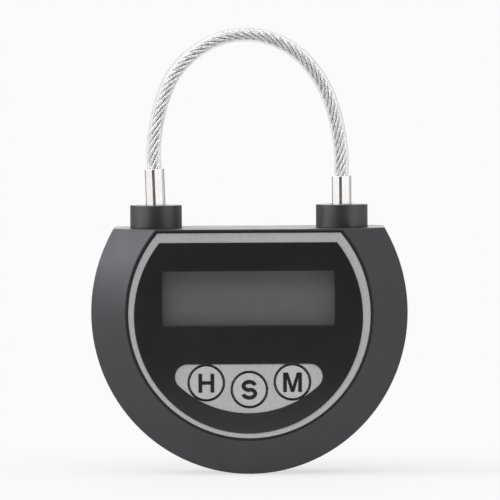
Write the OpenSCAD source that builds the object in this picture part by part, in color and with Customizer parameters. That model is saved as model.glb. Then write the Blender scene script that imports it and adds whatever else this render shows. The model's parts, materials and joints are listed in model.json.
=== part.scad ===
// Round timer padlock. A disc casing with a flat top carries a loop of coated wire rope.
// One end of the rope stays in the casing. The other ends in a plug that a motor-driven
// latch holds until the timer has run down.
// The face looks along -Y, the loop stands up along +Z, and Z = 0 is the casing's lowest point.

/* [Casing] */
// Diameter of the round casing
casing_d = 66; // [65.5:0.25:72]
// Depth of the casing from the front rim to the back
casing_depth = 26; // [25.8:0.2:32]
// How many times as tall as wide the round outlines are; 1 makes them circles
upright = 1.0235; // [1:0.0005:1.03]
// Height of the flat top above the middle of the works
flat_rise = 18.3; // [18:0.1:19]
// Wall of both halves of the casing
wall = 2; // [1.7:0.05:2.1]
// Width of the sloping ring round the face, seen from the front
ring_w = 7.1; // [6.8:0.1:7.6]
// How far the sloping ring runs back
ring_depth = 8; // [6:0.25:9]
// Chamfer round the back
back_chamfer = 2.5; // [1:0.1:2.8]
// Radius of the posts that the casing screws go into
post_r = 2.6; // [2.2:0.1:2.8]

/* [Face] */
// Depth of the recess that holds the face plate
recess_depth = 0.9; // [0.8:0.05:1.2]
// Gap between the face plate and the edge of its recess
plate_gap = 0.5; // [0.3:0.05:0.6]
// Thickness of the silver face plate
plate_t = 0.4; // [0.3:0.05:0.5]
// Thickness of the black sheet on the face plate
overlay_t = 0.2; // [0.15:0.05:0.3]
// Width of the casing's edge above the face plate
plate_inset = 0.75; // [0.6:0.05:1.2]
// Width of the silver border round the black sheet
field_border = 1.4; // [1.1:0.05:1.8]
// Width of the silver border above the black sheet
field_top_border = 2; // [1.6:0.05:2.4]
// Width of the display window
window_w = 35.9; // [34:0.1:36.5]
// Height of the display window
window_h = 11.35; // [10.5:0.05:11.6]
// Height of the window's middle above the middle of the works
window_rise = 3.93; // [3.8:0.01:4]
// Clearance between the lens and its window
lens_gap = 0.12; // [0.05:0.01:0.2]
// Difference in radius between the black sheet and the silver key panel
panel_border = 2.4; // [2.2:0.05:3]
// Radius of the key panel's rounded ends
panel_end_r = 2.6; // [2.2:0.1:3]

/* [Keys] */
// Radius of a key cap
key_r = 3.45; // [3:0.05:3.6]
// Gap round a key cap
key_gap = 0.35; // [0.25:0.05:0.4]
// Travel of a key
key_travel = 0.5; // [0.3:0.05:0.55]
// How far the rim behind a key cap stands out from the cap
key_rim = 0.7; // [0.5:0.05:0.8]
// Distance from the middle key to each outer key
key_pitch = 8.95; // [8.9:0.05:9.3]
// Side of a switch's square body
switch_w = 6; // [5:0.1:6.4]

/* [Display and board] */
// How far the display glass reaches past the window at each side
lcd_side = 1.05; // [0.6:0.05:1.15]
// How far the display glass reaches above and below the window
lcd_edge = 1.3; // [0.9:0.05:1.4]
// Thickness of the display glass
lcd_t = 2; // [1.6:0.1:2]
// Height of the posts that carry the board
board_stand = 4; // [4:0.05:4.2]
// Thickness of the circuit board
board_t = 1.6; // [1.2:0.1:1.6]
// Radius of the circuit board
board_r = 25.2; // [24.6:0.1:25.6]

/* [Cable and ends] */
// Distance between the axes of the two cable ends
end_spacing = 38.8; // [38.4:0.1:39.4]
// Outer diameter of a collar
collar_d = 10.8; // [10:0.1:11.4]
// Height of a collar above the flat top
collar_h = 4.8; // [4:0.1:6]
// Diameter of the pins in the collars
pin_d = 5; // [4.6:0.05:5.2]
// Running clearance between a pin and its bore, on the radius
pin_fit = 0.08; // [0.03:0.01:0.1]
// Width of a hexagonal ferrule across its flats
ferrule_flats = 3.9; // [3.4:0.05:4]
// Length of a ferrule
ferrule_len = 8.7; // [7:0.1:9]
// Turn of the ferrules about their own axis, in degrees
ferrule_turn = -7; // [-30:1:30]
// Lean of the fixed ferrule, in degrees
ferrule_lean = 2; // [0:0.25:2.5]
// Diameter of the coated cable
cable_d = 3; // [2.4:0.1:3.4]
// How far the plug's top sits below the collar's top
plug_sink = 2.8; // [2:0.1:3]
// How far the fixed pin's top sits below the collar's top
anchor_sink = 1.3; // [1:0.1:2]

/* [Latch] */
// Tooth module of all the gears
tooth_module = 0.4; // [0.38:0.01:0.41]
// Teeth on the big wheel of the drive gear
wheel_teeth = 22; // [21:1:22]
// Teeth on the motor's pinion
motor_teeth = 10; // [10:1:11]
// Teeth on the small pinion that drives the bolt
pinion_teeth = 10; // [10:1:10]
// Side play between meshing teeth
backlash = 0.1; // [0.08:0.01:0.14]
// Thickness of the big wheel
wheel_t = 2; // [1.6:0.1:2.2]
// Thickness of the bolt's bar
bar_t = 3; // [2.4:0.1:3.4]
// Travel of the bolt
bolt_travel = 3.3; // [3:0.05:3.4]
// Thickness of the bolt's fork
fork_t = 1.6; // [1.2:0.1:1.7]
// Depth of the plug's groove on the radius
groove_depth = 0.9; // [0.6:0.05:1]
// Clearance between the fork and the plug's groove
fork_gap = 0.2; // [0.1:0.05:0.25]
// Diameter of the motor's can
motor_d = 7; // [6:0.1:7.1]
// Length of the motor's can
motor_len = 9; // [8:0.1:9.8]
// Direction of the motor from the drive gear, in degrees from +X
motor_dir = 200; // [198:1:202]

/* [Power] */
// Diameter of a battery cell
cell_d = 10.5; // [9.5:0.1:10.5]
// Length of a battery cell without its button
cell_len = 43.5; // [40:0.1:43.6]
// Height of the cell's button
cell_button = 1; // [0.8:0.1:1.2]
// Gap between the two cells
cell_gap = 0.2; // [0.1:0.05:0.4]
// Free length that a battery spring fills
spring_len = 3.6; // [3:0.1:3.8]
// Wire diameter of a battery spring
spring_wire = 0.4; // [0.3:0.05:0.45]
// Curls of a battery spring
spring_curls = 3; // [2:1:3]
// Thickness of the battery contact plates
contact_t = 0.3; // [0.2:0.05:0.4]

/* [Fasteners] */
// Radius of a casing screw's shank
screw_r = 1.2; // [1:0.05:1.3]
// Radius of a casing screw's head
screw_head_r = 2.1; // [1.8:0.05:2.2]
// Radius of a small screw's shank
small_screw_r = 0.8; // [0.6:0.05:0.85]
// Radius of a small screw's head
small_head_r = 1.5; // [1.2:0.05:1.5]
// Clearance of a screw in its hole, on the radius
screw_gap = 0.1; // [0.05:0.01:0.15]

/* [Hidden] */
$fn = 96;
eps = 0.01;
cut_over = 0.5;             // how far an outline runs past the plane that cuts it

// Depth: the casing is split in the plane of the cable's ends, and its front half is as deep as
// what lies in it: recess, wall, board, big wheel and half the bolt's bar, with their gaps
split_y = 0;
wheel_gap = 0.6;
bar_gap = 0.4;
bar_half = bar_t / 2;
wheel_back = split_y - bar_half - bar_gap;
wheel_front = wheel_back - wheel_t;
front_y = wheel_front - wheel_gap - board_t - board_stand - wall - recess_depth;
back_y = front_y + casing_depth;

// Casing
casing_r = casing_d / 2;
disc_z = casing_r * upright; // middle of the casing's outline
mid_z = casing_r;            // middle of the works
flat_z = mid_z + flat_rise;
roof_z = flat_z - wall;
inner_r = casing_r - wall;
back_in = back_y - wall;
edge_chamfer = 0.3;
rim_r = casing_r - ring_w;
// The inner side of the sloping ring runs parallel to the outer side, one wall away.
slope_len = norm([ring_w, ring_depth]);
slope_r = casing_r - wall * ring_depth / slope_len;
slope_y = front_y + ring_depth + wall * ring_w / slope_len;
cone_y = slope_y - (slope_r - inner_r) * ring_depth / ring_w;

// Face
recess_y = front_y + recess_depth;
front_in = recess_y + wall;
cone_r = slope_r - (slope_y - front_in) * ring_w / ring_depth;
plate_y = recess_y - plate_t;
overlay_y = plate_y - overlay_t;
rim_land = 0.2;               // width of the flat edge round the recess
recess_r = rim_r - rim_land;
plate_r = recess_r - plate_gap;
face_drop = 0.15;             // the face sits this much below the casing's outline
face_mid = [0, disc_z - face_drop];
field_shift = [-0.2, -0.45];  // the black sheet sits off the middle of the plate
plate_top = flat_z - plate_inset;
top_gap = 0.8 * plate_gap;    // the gap above the plate is the narrower one
field_r = plate_r - field_border;
field_top = plate_top - field_top_border;
panel_r = field_r - panel_border;
window_x = field_shift[0];
window_z = mid_z + window_rise;
window_corner = 0.5;
lens_lip = 1.3;
lens_lip_t = 0.75;
panel_mid_z = mid_z + 1.5;
panel_top_z = mid_z - 9.75;

// Keys: the hour, set and minute key, each across and up
key_drop = 13.5;            // from the middle of the works to the outer keys
key_tilt = 0.05;            // the row of keys stands this much askew
key_shift = field_shift[0] / 2;
set_drop = 15;
key_places = [
    [key_shift - key_pitch, mid_z - key_drop - key_tilt],
    [key_shift, mid_z - set_drop],
    [key_shift + key_pitch, mid_z - key_drop + key_tilt]
];
key_rim_t = 0.6;
key_stem_r = 1.4;
key_stem_len = 0.55;
plunger_r = 1.5;
plunger_len = 1.3;
plunger_fit = 0.08;
assembly_gap = 0.05;
key_stem_end = front_in + assembly_gap + key_rim_t + key_stem_len;
switch_h = 2.4;
switch_spare = 0.1;         // play left under a plunger that is pressed home
switch_floor_y = key_stem_end + plunger_len + key_travel + switch_spare;

// Display
lcd_w = window_w + 2 * lcd_side;
lcd_h = window_h + 2 * lcd_edge;
lcd_gap = 0.15;
lcd_frame_t = 0.9;
lcd_lens_gap = 0.25;
lcd_y = front_in + lens_lip_t + lcd_lens_gap;
lcd_frame_y = lcd_y - 0.1;
strip_w = 1.6;
strip_inset = 1;

// Board
board_y = front_in + board_stand;
board_back = board_y + board_t;
board_top_gap = 0.9;
board_rise = flat_rise - wall - board_top_gap;
board_low_fix = [16, -14];
board_high_fix = [12, board_rise - 1.2];
board_fixings = [
    for (f = [board_low_fix, board_high_fix], sx = [-1, 1]) [sx * f[0], mid_z + f[1]]
];
stand_r = 1.6;
board_post_gap = 0.4;
board_corner_gap = 0.8;     // the board's upper corners clear the cable ends by this much

// Components on the board: the blob over the timer chip, the crystal, the motor's two drivers
blob_r = 3.2;
blob_t = 1;
blob_place = [-16.5, mid_z + 8.2];
crystal_size = [8, 3];
crystal_round = 1.2;
crystal_t = 1.4;
crystal_place = [0, mid_z - 21.7];
driver_size = [3, 1.6];
driver_t = 1.1;
driver_places = [[11, mid_z + 6.4], [11, mid_z + 9]];

// Cable ends
end_x = end_spacing / 2;
pin_r = pin_d / 2;
bore_r = pin_r + pin_fit;
collar_top = flat_z + collar_h;
collar_r = collar_d / 2;
neck_r = collar_r - 0.9;
flange_t = 0.75;
flange_z = roof_z - flange_t;
collar_round = 0.3;
plug_top = collar_top - plug_sink;
anchor_top = collar_top - anchor_sink;
ferrule_r = ferrule_flats / 2 / cos(30);
tang_r = 1;
tang_len = 3;
tang_root = 0.2;
tang_gap = 0.1;
pin_chamfer = 0.6;
clip_t = 0.7;
clip_r = 4.1;
clip_cut = 0.6;
clip_mouth = 0.8;           // the clip's mouth is narrower than the pin by this much each side
clip_gap = 0.15;
clip_z = flange_z - clip_gap - clip_t;
anchor_foot = 1.6;
rest_w = 5.2;
rest_t = 2.3;
rest_gap = 0.1;
rest_front = -1.5;

// Latch
works_gap = 0.3;            // between the board and the latch block
block_front = board_back + works_gap;
block_side = 1;
block_back = 4.6;
fork_half = -block_front - block_side;
fork_drop = 0.45;
fork_top = flange_z - fork_drop;
fork_z = fork_top - fork_t;
groove_r = pin_r - groove_depth;
fork_slot = groove_r + 0.15;
fork_reach = 0.5;           // the closed fork reaches this far past the plug's axis
fork_stop = 0.2;            // and its root stops this far short of the plug's groove
fork_len = 8.5;
fork_tip = end_x + fork_reach - bolt_travel;
fork_root = end_x - groove_r - fork_stop - bolt_travel;
fork_start = fork_tip - fork_len;
plug_nose = 4.8;            // from the groove to the plug's tip
plug_tip = fork_z - fork_gap - plug_nose;
addendum = 0.8 * tooth_module;
dedendum = 1.1 * tooth_module;
pressure = 20;
wheel_pitch_r = wheel_teeth * tooth_module / 2;
motor_pitch_r = motor_teeth * tooth_module / 2;
pinion_pitch_r = pinion_teeth * tooth_module / 2;
rack_drop = 3.2;
rack_z = roof_z - rack_drop;
gear_x = 3;
gear_z = rack_z - pinion_pitch_r;
bar_roof_gap = 0.7;
bar_top = roof_z - bar_roof_gap;
bar_lap = 1;                // the bar runs this far into the fork
rack_root = rack_z + dedendum;
rack_pitch = PI * tooth_module;
rack_tail = 2.4;
rack_from = gear_x - bolt_travel - rack_tail;
rack_teeth_left = 4;
rack_teeth_right = 1;
pinion_lap = 0.2;
pinion_half = bar_half + pinion_lap;
axle_r = 0.75;
axle_fit = 0.06;
axle_stub = 0.2;
axle_end = back_in - 2;
axle_boss_r = 2;
axle_boss_gap = 0.3;
gear_centres = wheel_pitch_r + motor_pitch_r;
motor_x = gear_x + gear_centres * cos(motor_dir);
motor_z = gear_z + gear_centres * sin(motor_dir);
motor_r = motor_d / 2;
motor_gap = 0.5;
motor_y = wheel_back + motor_gap;
motor_end = motor_y + motor_len;
motor_cap_r = motor_r - 1.2;
motor_cap_t = 0.3;
shaft_r = 0.5;
shaft_fit = 0.05;
shaft_depth = 3;
shaft_spare = 0.2;
shaft_stub = 0.1;
cradle_wall = 1;
cradle_len = 5;
motor_ledge = 0.8;
motor_play = 0.1;
wire_exit_len = 8;
wire_exit_low = 2.2;
wire_exit_high = 2.8;
blind_wall = 1;             // a blind hole stops this far from the back wall
block_left = end_x - 4.8;
block_right = end_x + 4.2;
block_low = mid_z + 5.2;
block_gap = 0.1;
block_top = flange_z - block_gap;
block_bore_gap = 0.2;
guide_gap = 0.1;
guide_end = 0.3;
block_fix_x = 2.5;
block_fixings = [for (sx = [-1, 1]) [end_x + sx * block_fix_x, block_low + 1.4]];
block_boss_r = 1.6;

// Power
cell_r = cell_d / 2;
door_gap = 0.5;
cell_y = back_in - door_gap - cell_r;
cells_z = mid_z - 7.05;
cell_places = [cells_z - cell_r - cell_gap / 2, cells_z + cell_r + cell_gap / 2];
cell_play = 0.25;
pocket_half_h = cell_d + cell_gap / 2 + cell_play;
pocket_half_w = (cell_len + cell_button + spring_len + 2 * contact_t) / 2 + assembly_gap;
cell_bed = 0.1;
pocket_y = cell_y - cell_r - cell_bed;
pocket_floor = 0.8;
pocket_wall = 0.8;
pocket_corner = 1.8;
cell_button_r = 1.9;
contact_w = 6;
contact_gap = 0.2;
door_lip = 1;
door_t = wall / 2;
door_corner = 4;
door_fit = 0.15;
door_tab_r = 3.2;
door_tab_reach = 2.9;
door_tab_x = 10.4;
door_fixings = [
    [0, cells_z - pocket_half_h - door_tab_reach],
    [door_tab_x, cells_z + pocket_half_h + door_tab_reach]
];
door_boss_r = 2.2;
door_boss_len = 6;
door_pilot = 4.5;
door_head_t = 0.5;
door_head_sink = 0.1;
door_plug_gap = 0.1;
grip_count = 5;
grip_size = [16, 0.4, 0.6];
grip_pitch = 1.6;
spring_r = 2.6;
spring_gap = 0.05;
curl_rings = 8;
spring_sides = 6;
cord_sides = 8;

// Screws
post_ring = inner_r - post_r - 0.8;
post_angles = [163, 17, 244, 296];
case_fixings = [for (a = post_angles) [post_ring * cos(a), mid_z + post_ring * sin(a)]];
pilot_depth = 4;
small_pilot = 2.4;
tip_gap = 0.4;
head_t = 1.3;
head_sink = 0.3;
small_head_t = 0.8;
cross_depth = 0.6;
cross_w = 0.4;
cross_reach = 0.6;          // share of the head's radius

// Where the free stretch of the cable runs, in the plane of the loop: across, up
cable_route = [
    [-19.7, 63.6], [-19.8, 68], [-19.2, 73], [-17.9, 78.2], [-15.9, 82.8], [-13, 86.4],
    [-9.3, 89.2], [-4.8, 91.1], [0.2, 91.6], [5, 90.7], [9.4, 88.4], [13, 85],
    [15.8, 80.8], [17.7, 76], [18.8, 71.2], [19.4, 66.5], [19.4, 62]
];
// The wires inside: across, back, up from the middle of the works. Each pair runs side by side.
motor_wire_d = 0.9;
motor_wire_pitch = 1.6;
motor_wire_route = [
    [-5.4, 8.7, 8], [-6.6, 8.8, 8], [-8, 8.7, 8.2], [-9.5, 8, 8.4], [-10, 5, 8.6],
    [-10, 2, 8.6], [-10, -2, 8.6], [-10, -4.4, 8.6]
];
battery_wire_d = 1;
battery_wire_pitch = 8;
battery_wire_route = [
    [22, -1, -13.5], [22, -2, -13.4], [21, -2.7, -13], [19, -2.8, -12], [17, -2.9, -10.5],
    [16, -3.6, -10], [16, -4.4, -10]
];
wire_side = [0.31, 0.23, 0.92];

// ---- Shared shapes ----

// A flat outline drawn across and up, as a slab from one depth to another.
module slab(y0, y1) {
    translate([0, y1, 0]) rotate([90, 0, 0]) linear_extrude(y1 - y0) children();
}

// A rod along the depth of the casing.
module rod(x, z, r, y0, y1) {
    translate([x, y0, z]) rotate([-90, 0, 0]) cylinder(h = y1 - y0, r = r);
}

// A profile of radius and depth, turned about the casing's own axis.
module turned(points) {
    translate([0, 0, disc_z]) scale([1, 1, upright]) rotate([-90, 0, 0])
        rotate_extrude($fn = 180) polygon(points);
}

module rounded_rect(w, h, r) {
    square([w - 2 * r, h], center = true);
    square([w, h - 2 * r], center = true);
    for (sx = [-1, 1], sz = [-1, 1])
        translate([sx * (w / 2 - r), sz * (h / 2 - r)]) circle(r, $fn = 32);
}

// A round outline like the casing's own, with a flat edge at a height.
module flat_disc(centre, r, top) {
    difference() {
        translate(centre) scale([1, upright]) circle(r, $fn = 180);
        translate([centre[0] - 2 * r, top]) square([4 * r, 2 * r]);
    }
}

module screw(x, z, r, head_r, head, y_head, y_tip) {
    rod(x, z, head_r, y_head, y_head + head);
    rod(x, z, r, y_tip, y_head + eps);
}

// Gear outlines: involute flanks, with the flank below the base circle straight.
function involute(angle) = tan(angle) * 180 / PI - angle;
function half_tooth(r, base_r, pitch_half) =
    pitch_half + involute(pressure) - involute(acos(min(1, base_r / max(r, base_r))));
function polar(r, a) = [r * cos(a), r * sin(a)];

module gear_outline(teeth, turn) {
    pitch_r = teeth * tooth_module / 2;
    base_r = pitch_r * cos(pressure);
    root_r = pitch_r - dedendum;
    tip_r = pitch_r + addendum;
    pitch_half = 90 / teeth - backlash / 2 / pitch_r * 180 / PI / 2;
    radii = [root_r, max(base_r, root_r + eps), pitch_r, (pitch_r + tip_r) / 2, tip_r];
    polygon([
        for (i = [0:teeth - 1]) each [
            for (r = radii) polar(r, turn + i * 360 / teeth - half_tooth(r, base_r, pitch_half)),
            for (k = [len(radii) - 1:-1:0])
                polar(radii[k], turn + i * 360 / teeth + half_tooth(radii[k], base_r, pitch_half))
        ]
    ]);
}

// Rack teeth that point down from the bar, with a gap straight above the drive gear.
module rack_outline() {
    half = rack_pitch / 4 - backlash / 4;
    slope = tan(pressure);
    for (i = [-rack_teeth_left:rack_teeth_right])
        translate([gear_x + (i - 0.5) * rack_pitch, 0])
            polygon([
                [-half - dedendum * slope, rack_root + eps],
                [-half + addendum * slope, rack_z - addendum],
                [half - addendum * slope, rack_z - addendum],
                [half + dedendum * slope, rack_root + eps]
            ]);
}

// Swept tubes: rings of points across the route, joined by triangles.
function unit(v) = v / norm(v);
function heading(points, i) =
    unit(points[min(i + 1, len(points) - 1)] - points[max(i - 1, 0)]);
function across(side, way) = unit(side - (side * way) * way);
function ring(centre, way, side, r, sides) =
    let (u = across(side, way), v = cross(way, u))
    [for (k = [0:sides - 1]) centre + r * (cos(k * 360 / sides) * u + sin(k * 360 / sides) * v)];

module tube(points, side_of, r, sides) {
    last = len(points) - 1;
    rings = [
        for (i = [0:last]) each ring(points[i], heading(points, i), side_of[i], r, sides)
    ];
    walls = [
        for (i = [0:last - 1], k = [0:sides - 1])
            let (
                a = i * sides + k, b = i * sides + (k + 1) % sides,
                c = a + sides, d = b + sides
            ) each [[a, c, b], [b, c, d]]
    ];
    start_cap = [for (k = [1:sides - 2]) [0, k, k + 1]];
    end_cap = [for (k = [1:sides - 2]) [last * sides, last * sides + k + 1, last * sides + k]];
    polyhedron(points = rings, faces = concat(walls, start_cap, end_cap));
}

// ---- Casing ----

// The turned outline runs on past its front and back, where a block cuts it to plane faces.
module casing_solid() {
    intersection() {
        turned([
            [0, front_y - cut_over], [rim_r - cut_over * ring_w / ring_depth, front_y - cut_over],
            [casing_r, front_y + ring_depth], [casing_r, back_y - back_chamfer],
            [casing_r - back_chamfer - cut_over, back_y + cut_over], [0, back_y + cut_over]
        ]);
        translate([-casing_d, front_y, -casing_d])
            cube([2 * casing_d, casing_depth, casing_d + flat_z]);
    }
}

module casing_hollow() {
    difference() {
        turned([
            [0, front_in], [cone_r, front_in], [inner_r, cone_y],
            [inner_r, back_in - back_chamfer], [inner_r - back_chamfer, back_in], [0, back_in]
        ]);
        translate([-casing_d, -casing_d, roof_z]) cube(2 * casing_d);
    }
}

module half_space(front) {
    translate([-casing_d, front ? split_y - 2 * casing_d : split_y, -casing_d])
        cube([2 * casing_d, 2 * casing_d, 4 * casing_d]);
}

// The round hole in the roof that both halves close round a collar's neck.
module neck_holes() {
    for (sx = [-1, 1])
        translate([sx * end_x, 0, roof_z - eps])
            cylinder(h = wall + 2 * eps, r = neck_r + assembly_gap);
}

module recess() {
    slab(front_y - eps, recess_y) flat_disc(face_mid, recess_r, plate_top + top_gap);
}

module front_shell() {
    color([0.11, 0.11, 0.12])
    difference() {
        union() {
            difference() {
                intersection() {
                    casing_solid();
                    half_space(true);
                }
                casing_hollow();
            }
            intersection() {
                casing_solid();
                union() {
                    for (p = case_fixings) rod(p[0], p[1], post_r, front_in - eps, split_y);
                    for (p = board_fixings) rod(p[0], p[1], stand_r, front_in - eps, board_y);
                }
            }
        }
        recess();
        neck_holes();
        slab(recess_y - eps, front_in + eps)
            translate([window_x, window_z]) rounded_rect(window_w, window_h, window_corner);
        for (k = key_places) rod(k[0], k[1], key_r + key_gap, recess_y - eps, front_in + eps);
        for (p = case_fixings)
            rod(p[0], p[1], screw_r + screw_gap / 2, split_y - pilot_depth, split_y + eps);
        for (p = board_fixings)
            rod(p[0], p[1], small_screw_r + screw_gap / 2, board_y - small_pilot, board_y + eps);
    }
}

module door_outline(grow) {
    translate([0, cells_z])
        rounded_rect(
            2 * (pocket_half_w + door_lip + grow), 2 * (pocket_half_h + door_lip + grow),
            door_corner
        );
    for (p = door_fixings) {
        translate(p) circle(door_tab_r + grow);
        translate([p[0] - door_tab_r - grow, min(p[1], cells_z)])
            square([2 * (door_tab_r + grow), abs(p[1] - cells_z)]);
    }
}

module pocket_outline(grow) {
    translate([0, cells_z])
        rounded_rect(2 * (pocket_half_w + grow), 2 * (pocket_half_h + grow), pocket_corner);
}

module back_shell() {
    color([0.11, 0.11, 0.12])
    difference() {
        union() {
            difference() {
                intersection() {
                    casing_solid();
                    half_space(false);
                }
                casing_hollow();
            }
            intersection() {
                casing_solid();
                union() {
                    slab(pocket_y - pocket_floor, back_in + eps) pocket_outline(pocket_wall);
                    for (p = case_fixings) rod(p[0], p[1], post_r, split_y, back_in + eps);
                    for (p = door_fixings)
                        rod(p[0], p[1], door_boss_r, back_in - door_boss_len, back_in + eps);
                    for (p = block_fixings)
                        rod(p[0], p[1], block_boss_r, block_back, back_in + eps);
                    // boss of the gear's axle, cradle of the motor, rest under the fixed pin
                    rod(gear_x, gear_z, axle_boss_r, pinion_half + axle_boss_gap, back_in + eps);
                    rod(motor_x, motor_z, motor_r + cradle_wall, motor_end - cradle_len,
                        back_in + eps);
                    translate([-end_x - rest_w / 2, rest_front,
                        clip_z - anchor_foot - rest_gap - rest_t])
                        cube([rest_w, back_in + eps - rest_front, rest_t]);
                }
            }
        }
        neck_holes();
        slab(pocket_y, back_y + eps) pocket_outline(0);
        slab(back_y - door_t, back_y + eps) door_outline(door_fit);
        for (p = case_fixings) {
            rod(p[0], p[1], screw_r + screw_gap, split_y - eps, back_y + eps);
            rod(p[0], p[1], screw_head_r + screw_gap, back_y - head_t - head_sink, back_y + eps);
        }
        for (p = door_fixings)
            rod(p[0], p[1], small_screw_r + screw_gap / 2, back_in - door_pilot, back_y);
        for (p = block_fixings)
            rod(p[0], p[1], small_screw_r + screw_gap / 2, block_back - eps, back_in - blind_wall);
        rod(gear_x, gear_z, axle_r, pinion_half, axle_end);
        rod(motor_x, motor_z, motor_r + assembly_gap, split_y - eps, motor_end + motor_play);
        rod(motor_x, motor_z, motor_r - motor_ledge, split_y, back_in - blind_wall / 2);
        // way out of the cradle for the motor's wires
        translate([motor_x - wire_exit_len, motor_end + motor_play, motor_z - wire_exit_low])
            cube([wire_exit_len, back_in - blind_wall / 2 - motor_end - motor_play,
                wire_exit_low + wire_exit_high]);
    }
}

module casing_screws() {
    color([0.5, 0.5, 0.52])
    for (p = case_fixings)
        difference() {
            screw(p[0], p[1], screw_r, screw_head_r, head_t, back_y - head_t - head_sink,
                split_y - pilot_depth + tip_gap);
            cross_slot(p[0], p[1], back_y - head_sink, screw_head_r);
        }
}

// The cross in a screw's head.
module cross_slot(x, z, y_head, head_r) {
    for (a = [0, 90])
        translate([x, y_head - cross_depth, z]) rotate([0, a, 0])
            translate([-head_r * cross_reach, 0, -cross_w / 2])
                cube([2 * head_r * cross_reach, cross_depth + eps, cross_w]);
}

// ---- Cable ends ----

module collar() {
    rotate_extrude() polygon([
        [bore_r, flange_z], [collar_r, flange_z], [collar_r, roof_z], [neck_r, roof_z],
        [neck_r, flat_z], [collar_r, flat_z], [collar_r, collar_top - collar_round],
        [collar_r - collar_round, collar_top], [bore_r, collar_top]
    ]);
}

module left_collar() {
    color([0.14, 0.14, 0.15]) translate([-end_x, 0, 0]) collar();
}

module right_collar() {
    color([0.14, 0.14, 0.15]) translate([end_x, 0, 0]) collar();
}

// A hexagonal crimp ferrule that stands on a pin's shoulder and grips its tang.
module ferrule(base) {
    translate([0, 0, base]) difference() {
        rotate([0, 0, ferrule_turn - 90]) cylinder(h = ferrule_len, r = ferrule_r, $fn = 6);
        translate([0, 0, -eps]) cylinder(h = tang_len + tang_gap, r = tang_r + assembly_gap);
    }
}

module left_ferrule() {
    color([0.85, 0.85, 0.83])
    translate([-end_x, 0, anchor_top]) rotate([0, -ferrule_lean, 0])
        translate([0, 0, assembly_gap + ferrule_r * sin(ferrule_lean)]) ferrule(0);
}

module right_ferrule() {
    color([0.85, 0.85, 0.83]) translate([end_x, 0, 0]) ferrule(plug_top);
}

module plug_pin() {
    color([0.75, 0.76, 0.78]) translate([end_x, 0, 0]) rotate_extrude() polygon([
        [0, plug_tip], [pin_r - pin_chamfer, plug_tip], [pin_r, plug_tip + pin_chamfer],
        [pin_r, fork_z - fork_gap], [groove_r, fork_z - fork_gap],
        [groove_r, fork_top + fork_gap], [pin_r, fork_top + fork_gap],
        [pin_r, plug_top - edge_chamfer], [pin_r - edge_chamfer, plug_top], [tang_r, plug_top],
        [tang_r, plug_top + tang_len], [0, plug_top + tang_len]
    ]);
}

module anchor_pin() {
    clip_cut_r = pin_r - clip_cut;
    color([0.75, 0.76, 0.78]) translate([-end_x, 0, 0]) {
        rotate_extrude() polygon([
            [0, clip_z - anchor_foot], [pin_r - pin_chamfer, clip_z - anchor_foot],
            [pin_r, clip_z - anchor_foot + pin_chamfer], [pin_r, clip_z - assembly_gap],
            [clip_cut_r, clip_z - assembly_gap], [clip_cut_r, clip_z + clip_t + assembly_gap],
            [pin_r, clip_z + clip_t + assembly_gap], [pin_r, anchor_top - edge_chamfer],
            [pin_r - edge_chamfer, anchor_top], [0, anchor_top]
        ]);
        translate([0, 0, anchor_top]) rotate([0, -ferrule_lean, 0])
            translate([0, 0, -tang_root]) cylinder(h = tang_len, r = tang_r);
    }
}

// An open ring that snaps into the fixed pin's groove under its collar.
module anchor_clip() {
    color([0.6, 0.6, 0.62]) translate([-end_x, 0, clip_z]) linear_extrude(clip_t)
        difference() {
            circle(clip_r);
            circle(pin_r - clip_cut + assembly_gap);
            translate([0, clip_mouth - pin_r]) square([2 * clip_r, 2 * (pin_r - clip_mouth)]);
        }
}

module cable() {
    points = [for (p = cable_route) [p[0], 0, p[1]]];
    color([0.8, 0.8, 0.8])
        tube(points, [for (p = points) [0, 1, 0]], cable_d / 2, cord_sides);
}

// ---- Face ----

module face_plate() {
    color([0.68, 0.68, 0.68])
    slab(plate_y, recess_y) difference() {
        flat_disc(face_mid, plate_r, plate_top);
        translate([window_x, window_z]) rounded_rect(window_w, window_h, window_corner);
        key_holes();
    }
}

module key_holes() {
    for (k = key_places) translate(k) circle(key_r + key_gap);
}

// The silver key panel: an arc below, a straight edge above and round ends.
module panel_outline() {
    end_z = panel_top_z - panel_end_r;
    drop = panel_mid_z - end_z;
    reach = panel_r - panel_end_r;
    panel_half = sqrt(reach * reach - drop * drop);
    out = [panel_half, -drop] / reach * panel_r * 2;
    translate([0, panel_mid_z]) intersection() {
        circle(panel_r, $fn = 180);
        translate([0, -panel_mid_z]) polygon([
            [-panel_half, panel_top_z], [panel_half, panel_top_z], [panel_half, end_z],
            [panel_half + out[0], end_z + out[1]], [-panel_half - out[0], end_z + out[1]],
            [-panel_half, end_z]
        ]);
    }
    for (sx = [-1, 1]) translate([sx * panel_half, end_z]) circle(panel_end_r);
}

module face_overlay() {
    color([0.1, 0.1, 0.11])
    slab(overlay_y, plate_y) difference() {
        flat_disc(face_mid + field_shift, field_r, field_top);
        translate([window_x, window_z]) rounded_rect(window_w, window_h, window_corner);
        translate([field_shift[0], 0]) panel_outline();
        key_holes();
    }
}

module window_lens() {
    color([0.4, 0.4, 0.42, 0.6]) translate([window_x, 0, window_z]) {
        slab(overlay_y, front_in + eps)
            rounded_rect(window_w - 2 * lens_gap, window_h - 2 * lens_gap, window_corner);
        slab(front_in, front_in + lens_lip_t)
            rounded_rect(window_w + 2 * lens_lip, window_h + 2 * lens_lip, window_corner);
    }
}

// ---- Keys ----

module key(place) {
    color([0.7, 0.7, 0.7]) {
        rod(place[0], place[1], key_r, overlay_y, front_in + assembly_gap + eps);
        rod(place[0], place[1], key_r + key_rim, front_in + assembly_gap,
            front_in + assembly_gap + key_rim_t);
        rod(place[0], place[1], key_stem_r, front_in + key_rim_t, key_stem_end);
    }
}

module key_hour() key(key_places[0]);
module key_set() key(key_places[1]);
module key_minute() key(key_places[2]);

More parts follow.
